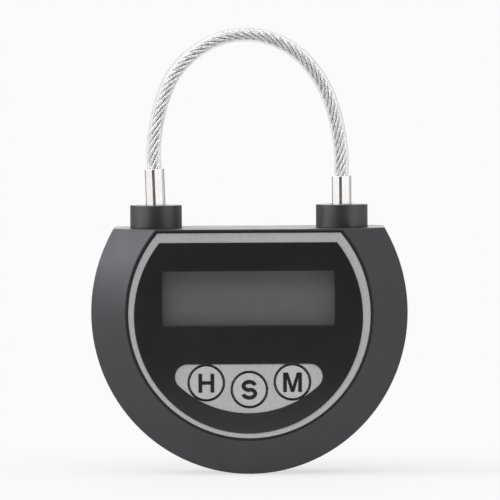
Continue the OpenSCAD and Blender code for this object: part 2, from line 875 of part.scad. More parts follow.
module switch_plunger(place) {
    color([0.15, 0.15, 0.15])
        rod(place[0], place[1], plunger_r, key_stem_end, key_stem_end + plunger_len);
}

module switch_plunger_hour() switch_plunger(key_places[0]);
module switch_plunger_set() switch_plunger(key_places[1]);
module switch_plunger_minute() switch_plunger(key_places[2]);

module tact_switches() {
    color([0.3, 0.3, 0.32])
    for (k = key_places)
        difference() {
            slab(board_y - switch_h, board_y) translate(k) square(switch_w, center = true);
            rod(k[0], k[1], plunger_r + plunger_fit, board_y - switch_h - eps, switch_floor_y);
        }
}

// ---- Display and board ----

module lcd_glass() {
    color([0.55, 0.6, 0.55])
    translate([window_x, 0, window_z]) slab(lcd_y, lcd_y + lcd_t)
        square([lcd_w, lcd_h], center = true);
}

module lcd_frame() {
    outer_w = lcd_w + 2 * (lcd_gap + lcd_frame_t);
    outer_h = lcd_h + 2 * (lcd_gap + lcd_frame_t);
    color([0.2, 0.2, 0.2])
    translate([window_x, 0, window_z]) difference() {
        slab(lcd_frame_y, board_y - assembly_gap) square([outer_w, outer_h], center = true);
        slab(lcd_frame_y - eps, board_y)
            square([lcd_w + 2 * lcd_gap, lcd_h + 2 * lcd_gap], center = true);
    }
}

module zebra_strips() {
    color([0.85, 0.6, 0.65])
    for (sz = [-1, 1])
        translate([window_x, 0, window_z + sz * (lcd_h / 2 - strip_inset)])
            slab(lcd_y + lcd_t, board_y)
                square([lcd_w - 2 * strip_inset, strip_w], center = true);
}

module main_pcb() {
    color([0.1, 0.35, 0.2])
    slab(board_y, board_back) difference() {
        flat_disc([0, disc_z], board_r, mid_z + board_rise);
        for (p = case_fixings) translate(p) circle(post_r + board_post_gap);
        for (p = board_fixings) translate(p) circle(small_screw_r + screw_gap);
        for (sx = [-1, 1])
            translate([sx * (end_x + board_r / 2 - clip_r - board_corner_gap),
                clip_z - anchor_foot - rest_gap + board_r / 2])
                square(board_r, center = true);
    }
}

module pcb_components() {
    color([0.08, 0.08, 0.08]) {
        rod(blob_place[0], blob_place[1], blob_r, board_back, board_back + blob_t);
        slab(board_back, board_back + crystal_t) translate(crystal_place)
            rounded_rect(crystal_size[0], crystal_size[1], crystal_round);
        for (p = driver_places)
            slab(board_back, board_back + driver_t) translate(p) square(driver_size, center = true);
    }
}

module pcb_screws() {
    color([0.7, 0.7, 0.72])
    for (p = board_fixings)
        difference() {
            screw(p[0], p[1], small_screw_r, small_head_r, small_head_t, board_back,
                board_y - small_pilot + tip_gap);
            cross_slot(p[0], p[1], board_back + small_head_t, small_head_r);
        }
}

// ---- Latch ----

module latch_bolt() {
    color([0.7, 0.71, 0.73]) {
        slab(-bar_half, bar_half) {
            translate([rack_from, rack_root])
                square([fork_start + bar_lap - rack_from, bar_top - rack_root]);
            rack_outline();
        }
        translate([0, 0, fork_z]) linear_extrude(fork_t) difference() {
            translate([fork_start, -fork_half]) square([fork_tip - fork_start, 2 * fork_half]);
            translate([fork_root + fork_slot, 0]) circle(fork_slot);
            translate([fork_root + fork_slot, -fork_slot]) square([fork_tip, 2 * fork_slot]);
        }
    }
}

module latch_block() {
    color([0.6, 0.6, 0.61])
    difference() {
        translate([block_left, block_front, block_low])
            cube([block_right - block_left, block_back - block_front, block_top - block_low]);
        translate([end_x, 0, plug_tip - block_bore_gap]) cylinder(h = flat_rise, r = bore_r);
        // guide slot of the fork
        translate([block_left - eps, -fork_half - guide_gap, fork_z - guide_gap])
            cube([end_x + fork_reach + guide_end - block_left, 2 * (fork_half + guide_gap),
                fork_t + 2 * guide_gap]);
        for (p = block_fixings) {
            rod(p[0], p[1], small_screw_r + screw_gap, block_front - eps, block_back + eps);
            rod(p[0], p[1], small_head_r + screw_gap, block_front - eps, block_front + small_head_t);
        }
    }
}

module block_screws() {
    color([0.7, 0.7, 0.72])
    for (p = block_fixings) {
        rod(p[0], p[1], small_head_r, block_front, block_front + small_head_t);
        rod(p[0], p[1], small_screw_r, block_front + eps, back_in - blind_wall - tip_gap);
    }
}

module gear_axle() {
    color([0.75, 0.75, 0.77]) rod(gear_x, gear_z, axle_r, wheel_front - axle_stub, axle_end);
}

module drive_gear() {
    pinion_turn = 90;
    color([0.9, 0.88, 0.8])
    difference() {
        union() {
            slab(wheel_front, wheel_back) translate([gear_x, gear_z])
                gear_outline(wheel_teeth, motor_dir);
            slab(wheel_back - eps, pinion_half) translate([gear_x, gear_z])
                gear_outline(pinion_teeth, pinion_turn);
        }
        rod(gear_x, gear_z, axle_r + axle_fit, wheel_front - eps, pinion_half + eps);
    }
}

module motor_pinion() {
    color([0.8, 0.7, 0.4])
    difference() {
        slab(wheel_front, wheel_back) translate([motor_x, motor_z])
            gear_outline(motor_teeth, motor_dir + 180 + 180 / motor_teeth);
        rod(motor_x, motor_z, shaft_r, wheel_front - eps, wheel_back + eps);
    }
}

module motor_shaft() {
    color([0.8, 0.8, 0.82])
        rod(motor_x, motor_z, shaft_r, wheel_front - shaft_stub, motor_y + shaft_depth);
}

module motor_can() {
    color([0.75, 0.76, 0.78])
    difference() {
        union() {
            rod(motor_x, motor_z, motor_r, motor_y, motor_end);
            rod(motor_x, motor_z, motor_cap_r, motor_end - eps, motor_end + motor_cap_t);
        }
        rod(motor_x, motor_z, shaft_r + shaft_fit, motor_y - eps,
            motor_y + shaft_depth + shaft_spare);
    }
}

// ---- Power ----

// Each cell points the other way, so that one plate joins them at the left.
module battery_cells() {
    color([0.35, 0.4, 0.55])
    for (i = [0, 1])
        let (way = i == 0 ? 1 : -1)
        translate([way * (contact_t + assembly_gap - pocket_half_w), cell_y, cell_places[i]])
            rotate([0, 90 * way, 0]) translate([0, 0, spring_len]) {
                cylinder(h = cell_len, r = cell_r);
                translate([0, 0, cell_len - eps]) cylinder(h = cell_button, r = cell_button_r);
            }
}

module contact_plates() {
    side = pocket_half_w - contact_t;
    h = 2 * (cell_r + cell_play - pocket_corner - contact_gap);
    front = cell_y - contact_w / 2;
    color([0.85, 0.85, 0.83]) {
        translate([-pocket_half_w + assembly_gap / 2, front, cell_places[0] - h / 2])
            cube([contact_t, contact_w, cell_places[1] - cell_places[0] + h]);
        for (z = cell_places)
            translate([side - assembly_gap / 2, front, z - h / 2]) cube([contact_t, contact_w, h]);
    }
}

// Battery springs: each is one coiled wire, open at both ends, against its contact plate.
function curl_points(way, z) = [
    for (i = [0:curl_rings * spring_curls])
        let (turn = 360 * i / curl_rings)
        [
            way * (pocket_half_w - contact_t - assembly_gap - spring_wire / 2 - spring_gap
                - i * (spring_len - spring_wire - 4 * spring_gap) / (curl_rings * spring_curls)),
            cell_y + spring_r * cos(turn), z + spring_r * sin(turn)
        ]
];
function curl_sides(points, z) = [for (p = points) [0, p[1] - cell_y, p[2] - z]];

module contact_springs() {
    color([0.8, 0.8, 0.8])
    for (i = [0, 1])
        let (points = curl_points(i == 0 ? -1 : 1, cell_places[i]))
        tube(points, curl_sides(points, cell_places[i]), spring_wire / 2, spring_sides);
}
spring_points = curl_points(-1, cell_places[0]);
echo(least_spring_gap = min([
    for (i = [0:len(spring_points) - 1], j = [0:len(spring_points) - 1])
        if (j - i > curl_rings / 2) norm(spring_points[i] - spring_points[j])
]) - spring_wire);

module battery_door() {
    color([0.11, 0.11, 0.12])
    difference() {
        union() {
            slab(back_y - door_t, back_y) door_outline(0);
            slab(back_in + door_plug_gap, back_y - door_t + eps) pocket_outline(-door_fit);
        }
        for (p = door_fixings) {
            rod(p[0], p[1], small_screw_r + screw_gap, back_in, back_y + eps);
            rod(p[0], p[1], small_head_r + screw_gap, back_y - door_head_t - door_head_sink,
                back_y + eps);
        }
        // finger grooves
        for (i = [0:grip_count - 1])
            translate([-grip_size[0] / 2, back_y - grip_size[1], cells_z - i * grip_pitch])
                cube(grip_size + [0, eps, 0]);
    }
}

module door_screws() {
    color([0.5, 0.5, 0.52])
    for (p = door_fixings)
        difference() {
            screw(p[0], p[1], small_screw_r, small_head_r, door_head_t,
                back_y - door_head_t - door_head_sink, back_in - door_pilot + tip_gap);
            cross_slot(p[0], p[1], back_y - door_head_sink, small_head_r);
        }
}

module wire(route, d, up) {
    points = [for (p = route) p + [0, 0, mid_z + up]];
    tube(points, [for (p = points) wire_side], d / 2, cord_sides);
}

module motor_wires() {
    color([0.7, 0.1, 0.1]) wire(motor_wire_route, motor_wire_d, 0);
    color([0.1, 0.1, 0.1]) wire(motor_wire_route, motor_wire_d, motor_wire_pitch);
}

module battery_wires() {
    color([0.7, 0.1, 0.1]) wire(battery_wire_route, battery_wire_d, 0);
    color([0.1, 0.1, 0.1]) wire(battery_wire_route, battery_wire_d, battery_wire_pitch);
}

front_shell();
back_shell();
left_collar();
right_collar();
face_plate();
face_overlay();
window_lens();
lcd_glass();
lcd_frame();
zebra_strips();
main_pcb();
pcb_components();
pcb_screws();
tact_switches();
battery_cells();
contact_springs();
contact_plates();
motor_can();
gear_axle();
latch_block();
block_screws();
anchor_pin();
anchor_clip();
left_ferrule();
cable();
casing_screws();
motor_wires();
battery_wires();
key_hour();
key_set();
key_minute();
switch_plunger_hour();
switch_plunger_set();
switch_plunger_minute();
latch_bolt();
drive_gear();
motor_pinion();
motor_shaft();
plug_pin();
right_ferrule();
battery_door();
door_screws();
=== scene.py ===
import json
import math

import bmesh
import bpy
from mathutils import Matrix, Vector

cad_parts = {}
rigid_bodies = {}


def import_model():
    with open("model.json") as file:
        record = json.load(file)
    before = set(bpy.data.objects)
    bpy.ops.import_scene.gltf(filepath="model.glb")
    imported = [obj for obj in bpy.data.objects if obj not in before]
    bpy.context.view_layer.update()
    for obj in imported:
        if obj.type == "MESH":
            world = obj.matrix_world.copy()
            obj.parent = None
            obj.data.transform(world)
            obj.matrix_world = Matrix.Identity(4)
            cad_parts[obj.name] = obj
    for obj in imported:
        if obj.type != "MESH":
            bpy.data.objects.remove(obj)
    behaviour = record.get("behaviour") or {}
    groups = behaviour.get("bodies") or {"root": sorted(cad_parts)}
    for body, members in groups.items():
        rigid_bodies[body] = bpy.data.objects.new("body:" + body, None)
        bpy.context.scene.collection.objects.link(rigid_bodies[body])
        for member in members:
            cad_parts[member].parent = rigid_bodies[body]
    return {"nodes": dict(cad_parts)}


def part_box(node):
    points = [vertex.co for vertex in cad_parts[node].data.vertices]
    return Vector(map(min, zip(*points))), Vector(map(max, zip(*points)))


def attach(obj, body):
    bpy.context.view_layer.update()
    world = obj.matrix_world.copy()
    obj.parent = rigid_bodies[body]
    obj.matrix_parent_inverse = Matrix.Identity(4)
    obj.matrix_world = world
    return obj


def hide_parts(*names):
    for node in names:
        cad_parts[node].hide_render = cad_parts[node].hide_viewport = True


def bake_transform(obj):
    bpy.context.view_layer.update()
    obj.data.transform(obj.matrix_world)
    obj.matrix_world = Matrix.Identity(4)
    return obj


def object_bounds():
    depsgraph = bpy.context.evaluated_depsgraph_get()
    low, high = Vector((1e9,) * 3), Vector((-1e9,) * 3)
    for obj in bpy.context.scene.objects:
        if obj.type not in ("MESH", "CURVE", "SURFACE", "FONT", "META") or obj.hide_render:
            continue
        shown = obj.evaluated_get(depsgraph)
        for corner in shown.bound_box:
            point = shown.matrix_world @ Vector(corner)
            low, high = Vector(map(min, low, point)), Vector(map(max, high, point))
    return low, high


for leftover in list(bpy.data.objects):
    bpy.data.objects.remove(leftover)
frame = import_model()
nodes = frame["nodes"]
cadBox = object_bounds()
print("frame loaded", len(nodes), "nodes")

mm = 0.001

# The camera's place by angles in degrees and lengths in metres, its lens in mm
cameraView = {
    "distance": 2.0,
    "lens": 689.0,
    "sensor": 36,
    "elevation": 1.95,
    "roll": 0.32,
    "target": (0.0, 0.0, 0.033),
    "across": 0.000114,
    "up": 0.013565,
}


# A long lens from the front, a little above, rolled a little about the line of sight
def makeCamera(view):
    tilt = math.radians(view["elevation"])
    roll = math.radians(view["roll"])
    side = Vector((1, 0, 0))
    top = Vector((0, math.sin(tilt), math.cos(tilt)))
    up = math.cos(roll) * top + math.sin(roll) * side
    right = math.cos(roll) * side - math.sin(roll) * top
    ahead = Vector((0, math.cos(tilt), -math.sin(tilt)))
    aim = Vector(view["target"]) + view["across"] * right + view["up"] * up
    data = bpy.data.cameras.new("camera")
    data.lens = view["lens"]
    data.sensor_width = view["sensor"]
    data.clip_start = 0.01
    data.clip_end = 100
    camera = bpy.data.objects.new("camera", data)
    turn = Matrix((right, up, -ahead)).transposed()
    camera.matrix_world = Matrix.Translation(aim - view["distance"] * ahead) @ turn.to_4x4()
    bpy.context.scene.collection.objects.link(camera)
    bpy.context.scene.camera = camera


makeCamera(cameraView)


# A new material with its tree and its main shader
def newMaterial(name):
    material = bpy.data.materials.new(name)
    material.use_nodes = True
    tree = material.node_tree
    return material, tree, tree.nodes["Principled BSDF"]


def setInputs(node, values):
    for key, value in values.items():
        if isinstance(value, tuple) and len(value) == 3:
            value = (*value, 1.0)
        node.inputs[key].default_value = value


def noiseNode(tree, coordinates, scale, detail=3.0, roughness=0.6):
    noise = tree.nodes.new("ShaderNodeTexNoise")
    setInputs(noise, {"Scale": scale, "Detail": detail, "Roughness": roughness})
    tree.links.new(coordinates, noise.inputs["Vector"])
    return noise


# Noise lies mostly between 0.3 and 0.7, which is spread from low to high
def rangeNode(tree, value, low, high, fromLow=0.3, fromHigh=0.7):
    spread = tree.nodes.new("ShaderNodeMapRange")
    setInputs(spread, {"From Min": fromLow, "From Max": fromHigh, "To Min": low, "To Max": high})
    tree.links.new(value, spread.inputs["Value"])
    return spread.outputs["Result"]


def mixNode(tree, factor, first, second):
    mix = tree.nodes.new("ShaderNodeMix")
    mix.data_type = "RGBA"
    mix.inputs[6].default_value = (*first, 1.0)
    mix.inputs[7].default_value = (*second, 1.0)
    tree.links.new(factor, mix.inputs[0])
    return mix.outputs[2]


# Plain finish: two tones mottled by fine noise, roughness that varies, and a fine bump
def grainedMaterial(name, look):
    material, tree, shader = newMaterial(name)
    place = tree.nodes.new("ShaderNodeTexCoord").outputs["Object"]
    grain = noiseNode(tree, place, look["grain"])
    broad = noiseNode(tree, place, look["broad"], 2.0)
    tone = rangeNode(tree, grain.outputs["Fac"], 0.0, 1.0, 0.25, 0.75)
    tree.links.new(mixNode(tree, tone, look["dark"], look["light"]), shader.inputs["Base Color"])
    rough = rangeNode(tree, broad.outputs["Fac"], look["smooth"], look["rough"])
    tree.links.new(rough, shader.inputs["Roughness"])
    bump = tree.nodes.new("ShaderNodeBump")
    setInputs(bump, {"Strength": look.get("bump", 0.2), "Distance": look.get("height", 0.00002)})
    tree.links.new(grain.outputs["Fac"], bump.inputs["Height"])
    tree.links.new(bump.outputs["Normal"], shader.inputs["Normal"])
    setInputs(shader, {"Metallic": look.get("metallic", 0.0), "IOR": look.get("ior", 1.5)})
    return material


# Each finish: its two tones, how fine its grain and its broad mottle are, and how it shines
looks = {
    "casing": {"dark": (0.014, 0.014, 0.017), "light": (0.024, 0.023, 0.028), "grain": 3500, "broad": 120,
               "smooth": 0.36, "rough": 0.46, "bump": 0.25, "height": 0.00003},
    "collar": {"dark": (0.008, 0.0078, 0.0085), "light": (0.016, 0.0155, 0.0165), "grain": 4200,
               "broad": 300, "smooth": 0.3, "rough": 0.4, "bump": 0.6, "height": 0.00005, "ior": 1.7},
    "face_silver": {"dark": (0.345, 0.341, 0.345), "light": (0.5, 0.494, 0.5), "grain": 4200, "broad": 90,
                    "smooth": 0.42, "rough": 0.5, "bump": 0.45, "height": 0.00002, "metallic": 0.55},
    "face_black": {"dark": (0.009, 0.009, 0.011), "light": (0.012, 0.012, 0.0145), "grain": 900,
                   "broad": 60, "smooth": 0.14, "rough": 0.22, "bump": 0.05, "height": 0.00001},
    "display": {"dark": (0.42, 0.425, 0.435), "light": (0.48, 0.49, 0.505), "grain": 1500, "broad": 700,
                "smooth": 0.3, "rough": 0.34, "bump": 0.02},
    "inner_plastic": {"dark": (0.03, 0.03, 0.032), "light": (0.05, 0.05, 0.05), "grain": 3000, "broad": 200,
                      "smooth": 0.45, "rough": 0.6},
    "zebra": {"dark": (0.35, 0.16, 0.2), "light": (0.6, 0.36, 0.42), "grain": 2500, "broad": 400,
              "smooth": 0.6, "rough": 0.75},
    "board": {"dark": (0.012, 0.085, 0.035), "light": (0.02, 0.13, 0.05), "grain": 700, "broad": 150,
              "smooth": 0.3, "rough": 0.42, "bump": 0.15},
    "chips": {"dark": (0.01, 0.01, 0.01), "light": (0.022, 0.022, 0.022), "grain": 4000, "broad": 500,
              "smooth": 0.35, "rough": 0.5},
    "screws": {"dark": (0.42, 0.43, 0.45), "light": (0.6, 0.6, 0.62), "grain": 3000, "broad": 500,
               "smooth": 0.26, "rough": 0.4, "metallic": 1.0},
    "cells": {"dark": (0.1, 0.14, 0.24), "light": (0.14, 0.18, 0.3), "grain": 1500, "broad": 120,
              "smooth": 0.25, "rough": 0.36, "metallic": 0.3},
    "contacts": {"dark": (0.6, 0.6, 0.57), "light": (0.75, 0.74, 0.7), "grain": 3500, "broad": 300,
                 "smooth": 0.2, "rough": 0.32, "metallic": 1.0},
    "motor_steel": {"dark": (0.5, 0.5, 0.52), "light": (0.62, 0.62, 0.64), "grain": 2500, "broad": 250,
                    "smooth": 0.3, "rough": 0.42, "metallic": 1.0},
    "bright_steel": {"dark": (0.56, 0.57, 0.6), "light": (0.68, 0.69, 0.71), "grain": 2500, "broad": 250,
                     "smooth": 0.2, "rough": 0.34, "metallic": 1.0},
    "zinc": {"dark": (0.34, 0.34, 0.35), "light": (0.5, 0.5, 0.51), "grain": 1800, "broad": 200,
             "smooth": 0.45, "rough": 0.6, "metallic": 0.9, "bump": 0.4},
    "ferrule": {"dark": (0.7, 0.67, 0.655), "light": (0.85, 0.83, 0.815), "grain": 2600, "broad": 350,
                "smooth": 0.14, "rough": 0.22, "metallic": 1.0, "bump": 0.12},
    "wires": {"dark": (0.3, 0.014, 0.014), "light": (0.45, 0.03, 0.03), "grain": 1500, "broad": 200,
              "smooth": 0.35, "rough": 0.45},
    "keys": {"dark": (0.37, 0.366, 0.37), "light": (0.53, 0.523, 0.53), "grain": 4200, "broad": 200,
             "smooth": 0.4, "rough": 0.48, "bump": 0.45, "height": 0.00002, "metallic": 0.5},
    "gear_plastic": {"dark": (0.66, 0.63, 0.54), "light": (0.78, 0.76, 0.68), "grain": 1200, "broad": 150,
                     "smooth": 0.35, "rough": 0.46},
    "pinion_brass": {"dark": (0.6, 0.43, 0.2), "light": (0.76, 0.58, 0.3), "grain": 2500, "broad": 250,
                     "smooth": 0.22, "rough": 0.34, "metallic": 1.0},
    "legend": {"dark": (0.0035, 0.003, 0.0035), "light": (0.007, 0.0063, 0.007), "grain": 3000,
               "broad": 300, "smooth": 0.18, "rough": 0.26, "bump": 0.1},
    "steelWire": {"dark": (0.6, 0.59, 0.575), "light": (0.98, 0.98, 0.975), "grain": 2600, "broad": 400,
                  "smooth": 0.16, "rough": 0.28, "metallic": 0.95},
    # The rope's heart is painted dark: painted shade seen between the strands
    "ropeHeartShade": {"dark": (0.02, 0.02, 0.02), "light": (0.06, 0.058, 0.055), "grain": 2500, "broad": 400,
                  "smooth": 0.5, "rough": 0.6, "metallic": 0.4},
}

materials = {name: grainedMaterial(name, look) for name, look in looks.items()}


# Clear plastic or smoked window: thin see-through layer, less clear where seen edge on
def clearMaterial(name, look):
    material, tree, shader = newMaterial(name)
    place = tree.nodes.new("ShaderNodeTexCoord").outputs["Object"]
    facing = tree.nodes.new("ShaderNodeLayerWeight")
    facing.inputs["Blend"].default_value = look["blend"]
    cover = rangeNode(tree, facing.outputs["Facing"], look["clear"], look["edge"], look["from"], 1.0)
    tree.links.new(cover, shader.inputs["Alpha"])
    broad = noiseNode(tree, place, look["broad"])
    tone = rangeNode(tree, broad.outputs["Fac"], 0.0, 1.0)
    tree.links.new(mixNode(tree, tone, look["dark"], look["light"]), shader.inputs["Base Color"])
    rough = rangeNode(tree, broad.outputs["Fac"], look["smooth"], look["rough"])
    tree.links.new(rough, shader.inputs["Roughness"])
    bump = tree.nodes.new("ShaderNodeBump")
    setInputs(bump, {"Strength": look["bump"], "Distance": look["height"]})
    tree.links.new(broad.outputs["Fac"], bump.inputs["Height"])
    tree.links.new(bump.outputs["Normal"], shader.inputs["Normal"])
    shader.inputs["IOR"].default_value = look["ior"]
    return material


# How much each clear layer covers, facing the eye and seen edge on, and its tones
clearLooks = {
    "jacket": {"blend": 0.3, "from": 0.3, "clear": 0.035, "edge": 0.6, "broad": 500,
               "dark": (0.42, 0.41, 0.45), "light": (0.54, 0.53, 0.57), "smooth": 0.1, "rough": 0.18,
               "bump": 0.05, "height": 0.00002, "ior": 1.46},
    "lens": {"blend": 0.5, "from": 0.0, "clear": 0.3, "edge": 0.6, "broad": 200,
             "dark": (0.03, 0.03, 0.03), "light": (0.036, 0.036, 0.037), "smooth": 0.16, "rough": 0.22,
             "bump": 0.05, "height": 0.00002, "ior": 1.46},
}
for name, look in clearLooks.items():
    materials[name] = clearMaterial(name, look)

# The solids' own slots are named like the finishes, but for the cable's
for node in nodes.values():
    for index, old in enumerate(node.data.materials):
        name = old.name.split(".")[0] if old else "inner_plastic"
        node.data.materials[index] = materials["steelWire" if name == "cable" else name]
print("materials made", len(materials))


# Turn a bmesh into a piece that rides on a body, smooth but for its sharp edges
def settlePiece(name, bm, material, body=None, sharp=32.0, weighted=True):
    bmesh.ops.recalc_face_normals(bm, faces=bm.faces[:])
    for face in bm.faces:
        face.smooth = True
    for edge in bm.edges:
        edge.smooth = edge.calc_face_angle(0) < math.radians(sharp)
    mesh = bpy.data.meshes.new(name)
    bm.to_mesh(mesh)
    bm.free()
    mesh.materials.append(materials[material])
    piece = bpy.data.objects.new(name, mesh)
    bpy.context.scene.collection.objects.link(piece)
    if weighted:
        modifier = piece.modifiers.new("even", "WEIGHTED_NORMAL")
        modifier.keep_sharp = True
        bpy.context.view_layer.update()
        shaped = piece.evaluated_get(bpy.context.evaluated_depsgraph_get())
        piece.data = bpy.data.meshes.new_from_object(shaped)
        piece.modifiers.clear()
        piece.data.name = name
        bpy.data.meshes.remove(mesh)
    if body:
        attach(piece, body)
    return piece


# A merged copy of a CAD node's mesh, with its flat areas as single faces
def nodeMesh(node, flat=0.4):
    bm = bmesh.new()
    bm.from_mesh(nodes[node].data)
    bmesh.ops.remove_doubles(bm, verts=bm.verts[:], dist=1e-6)
    bmesh.ops.dissolve_limit(
        bm, angle_limit=math.radians(flat), use_dissolve_boundaries=False, verts=bm.verts[:],
        edges=bm.edges[:], delimit=set(),
    )
    return bm


# Round the edges steeper than an angle in degrees whose two ends the test picks
def roundEdges(bm, width, chosen, segments, steep=25.0):
    edges = []
    for edge in bm.edges:
        if len(edge.link_faces) != 2:
            continue
        if math.degrees(edge.calc_face_angle(0)) < steep:
            continue
        if all(chosen(vert.co / mm) for vert in edge.verts):
            edges.append(edge)
    bmesh.ops.bevel(
        bm, geom=edges, offset=width * mm, offset_type="OFFSET", segments=segments,
        profile=0.5, affect="EDGES", clamp_overlap=True, material=-1,
    )
    return len(edges)


# A CAD node's own form with its chosen edges rounded, which stands in for the node
def dressedNode(node, name, material, body, width, chosen, segments=3):
    bm = nodeMesh(node)
    count = roundEdges(bm, width, chosen, segments)
    piece = settlePiece(name, bm, material, body)
    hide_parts(node)
    print("dressed", node, count, "edges")
    return piece


# A ring turned about an upright axis from (radius, height) points in mm
def spunPiece(name, profile, centre, material, body, steps=96):
    bm = bmesh.new()
    verts = [bm.verts.new((centre[0] + r * mm, centre[1], centre[2] + z * mm)) for r, z in profile]
    edges = [bm.edges.new((a, b)) for a, b in zip(verts, verts[1:] + verts[:1])]
    bmesh.ops.spin(
        bm, geom=verts + edges, cent=centre, axis=(0, 0, 1), dvec=(0, 0, 0), angle=2 * math.pi,
        steps=steps, use_merge=True, use_normal_flip=False, use_duplicate=False,
    )
    return settlePiece(name, bm, material, body)


# The cable's route in (x, z), its jacket and the rope laid inside it, in mm
cable = {
    "route": [
        (-19.7, 63.6), (-19.8, 68), (-19.2, 73), (-17.9, 78.2), (-15.9, 82.8), (-13, 86.4),
        (-9.3, 89.2), (-4.8, 91.1), (0.2, 91.6), (5, 90.7), (9.4, 88.4), (13, 85), (15.8, 80.8),
        (17.7, 76), (18.8, 71.2), (19.4, 66.5), (19.4, 62),
    ],
    "step": 0.33,
    "jacketRadius": 1.5,
    "jacketWall": 0.14,
    "jacketSides": 32,
    "strands": 6,
    "strandRadius": 0.36,
    "strandTurn": 10.5,
    "wires": 6,
    "wireRadius": 0.12,
    "wireSides": 5,
    "wireLean": 0.3,
    "wireTurn": 5.2,
    "heartRadius": 0.36,
    "heartSides": 10,
    "reach": 0.8,
    "inward": 0.2,
    "shifted": 0.46,
}


# Even points along a smooth curve through the given (x, z) points, in mm
def smoothRoute(points, step, finer=40):
    route = [Vector((x, 0, z)) for x, z in points]
    route = [2 * route[0] - route[1]] + route + [2 * route[-1] - route[-2]]
    fine = []
    for before, start, end, after in zip(route, route[1:], route[2:], route[3:]):
        for index in range(finer):
            t = index / finer
            fine.append(0.5 * (
                2 * start + (end - before) * t + (2 * before - 5 * start + 4 * end - after) * t * t
                + (3 * start - before - 3 * end + after) * t ** 3
            ))
    fine.append(route[-2])
    lengths = [0.0]
    for a, b in zip(fine, fine[1:]):
        lengths.append(lengths[-1] + (b - a).length)
    count = round(lengths[-1] / step)
    even, at = [], 0
    for index in range(count + 1):
        want = lengths[-1] * index / count
        while at < len(fine) - 2 and lengths[at + 1] < want:
            at += 1
        share = (want - lengths[at]) / max(lengths[at + 1] - lengths[at], 1e-9)
        even.append(fine[at].lerp(fine[at + 1], min(share, 1)))
    return even, lengths[-1]


# For each point the direction across the cable in the arch's plane, and the one out of it
def routeFrames(line):
    frames = []
    for index in range(len(line)):
        ahead = line[min(index + 1, len(line) - 1)] - line[max(index - 1, 0)]
        ahead.normalize()
        out = Vector((0, 1, 0))
        frames.append((out.cross(ahead).normalized(), out))
    return frames


# A tube of rings round the centres; with an inside radius its wall is open at both ends
def addTube(bm, centres, frames, radius, sides, turn=0.0, inside=None):
    def ring(index, r):
        across, out = frames[index]
        made = []
        for side in range(sides):
            angle = turn + 2 * math.pi * side / sides
            spoke = math.cos(angle) * across + math.sin(angle) * out
            made.append(bm.verts.new((centres[index] + r * spoke) * mm))
        return made

    outer = [ring(index, radius) for index in range(len(centres))]
    for low, high in zip(outer, outer[1:]):
        for side in range(sides):
            after = (side + 1) % sides
            bm.faces.new((low[side], low[after], high[after], high[side]))
    if inside is None:
        bm.faces.new(outer[0][::-1])
        bm.faces.new(outer[-1])
        return
    inner = [ring(index, inside) for index in range(len(centres))]
    for low, high in zip(inner, inner[1:]):
        for side in range(sides):
            after = (side + 1) % sides
            bm.faces.new((low[after], low[side], high[side], high[after]))
    for end, flip in ((0, 1), (-1, -1)):
        for side in range(sides):
            after = (side + 1) % sides
            corners = [outer[end][side], inner[end][side], inner[end][after], outer[end][after]]
            bm.faces.new(corners[::flip])


cableLine, cableLength = smoothRoute(cable["route"], cable["step"])
cableFrames = routeFrames(cableLine)


# A thin clear jacket round strands of wires laid round a heart painted dark, as painted shade between the
# strands
def makeCable(values):
    count = len(cableLine)
    bm = bmesh.new()
    addTube(
        bm, cableLine, cableFrames, values["jacketRadius"], values["jacketSides"],
        inside=values["jacketRadius"] - values["jacketWall"],
    )
    jacket = settlePiece("cableJacket", bm, "jacket", weighted=False)

    # The rope lies towards the inner side of the bend on the left half of the arch
    heart = []
    for index, (point, (across, out)) in enumerate(zip(cableLine, cableFrames)):
        share = index / (count - 1)
        shift = values["inward"] * math.sin(math.pi * min(1.0, share / values["shifted"])) ** 2
        heart.append(point + shift * across)
    bm = bmesh.new()
    addTube(bm, heart, cableFrames, values["heartRadius"], values["heartSides"])
    spacing = cableLength / (count - 1)
    for strand in range(values["strands"]):
        for wire in range(values["wires"]):
            centres = []
            for index, (point, (across, out)) in enumerate(zip(heart, cableFrames)):
                run = index * spacing
                big = 2 * math.pi * (run / values["strandTurn"] + strand / values["strands"])
                small = big + 2 * math.pi * (wire / values["wires"] - run / values["wireTurn"])
                twist = values["strandRadius"] - values["wireRadius"]
                centres.append(
                    point + values["reach"] * (math.cos(big) * across + math.sin(big) * out)
                    + twist * (math.cos(small) * across + math.sin(small) * out)
                )
            addTube(
                bm, centres, cableFrames, values["wireRadius"], values["wireSides"],
                turn=values["wireLean"] * wire,
            )
    rope = settlePiece("wireRope", bm, "steelWire", weighted=False, sharp=80)
    # The heart's faces take the dark finish, painted shade between the strands
    rope.data.materials.append(materials["ropeHeartShade"])
    heartFaces = values["heartSides"] * (count - 1) + 2
    for index in range(heartFaces):
        rope.data.polygons[index].material_index = 1
    for piece in (jacket, rope):
        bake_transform(piece)
    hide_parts("cable")


makeCable(cable)
print("cable made", round(cableLength, 2), "mm")


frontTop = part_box("front_shell")[1] / mm
casing = {
    "radius": frontTop.x,
    "flat": frontTop.z,
    "back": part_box("back_shell")[1].y / mm,
    "upright": 1.0235,
    "ringEdge": -5.0,
    "chamfer": 2.5,
    "frontRound": 0.18,
    "backRound": 0.14,
    "jointLand": 0.35,
    "doorCorner": (22.5, 18.5),
}


# Whether two places in mm are the same plane or radius
def same(a, b, within=0.01):
    return abs(a - b) < within


# Whether a point is on the casing's turned outline, which stands on its lowest point
def onOutline(p):
    tallness = casing["upright"]
    return same(math.hypot(p.x, p.z / tallness - casing["radius"]), casing["radius"], 0.05)


def frontOuterEdge(p):
    if same(p.z, casing["flat"]):
        return p.y < -casing["jointLand"]
    return same(p.y, casing["ringEdge"], 0.05) and onOutline(p)


